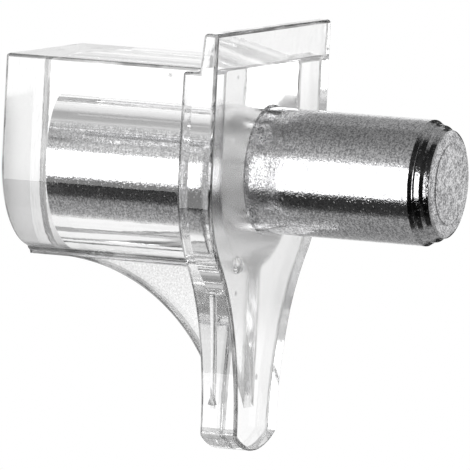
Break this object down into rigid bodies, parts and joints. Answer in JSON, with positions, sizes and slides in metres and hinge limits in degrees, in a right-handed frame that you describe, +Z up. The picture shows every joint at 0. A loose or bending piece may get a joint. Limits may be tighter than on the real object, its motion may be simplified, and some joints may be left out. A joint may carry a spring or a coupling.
{
  "type": "shelf support pin",
  "caption": "Clear moulded shelf support on a steel pin that plugs into a drilled hole in a cabinet side; a boss and web carry the shelf, and a thin tab stops its end.",
  "frame": {"origin": "on the pin's axis, in the plane of the bracket's wall face", "axes": "+X along the pin, out of the bracket and into the cabinet side; +Z up, towards the shelf seat; Y across the bracket"},
  "size_m": [0.0176, 0.0118, 0.0168],
  "materials": {
    "clear_plastic": "clear, colourless, polished moulding",
    "pin_steel": "bright plated steel with a fine grain"
  },
  "bodies": {
    "root": {"bracket": "clear_plastic", "pin": "pin_steel"}
  },
  "joints": []
}
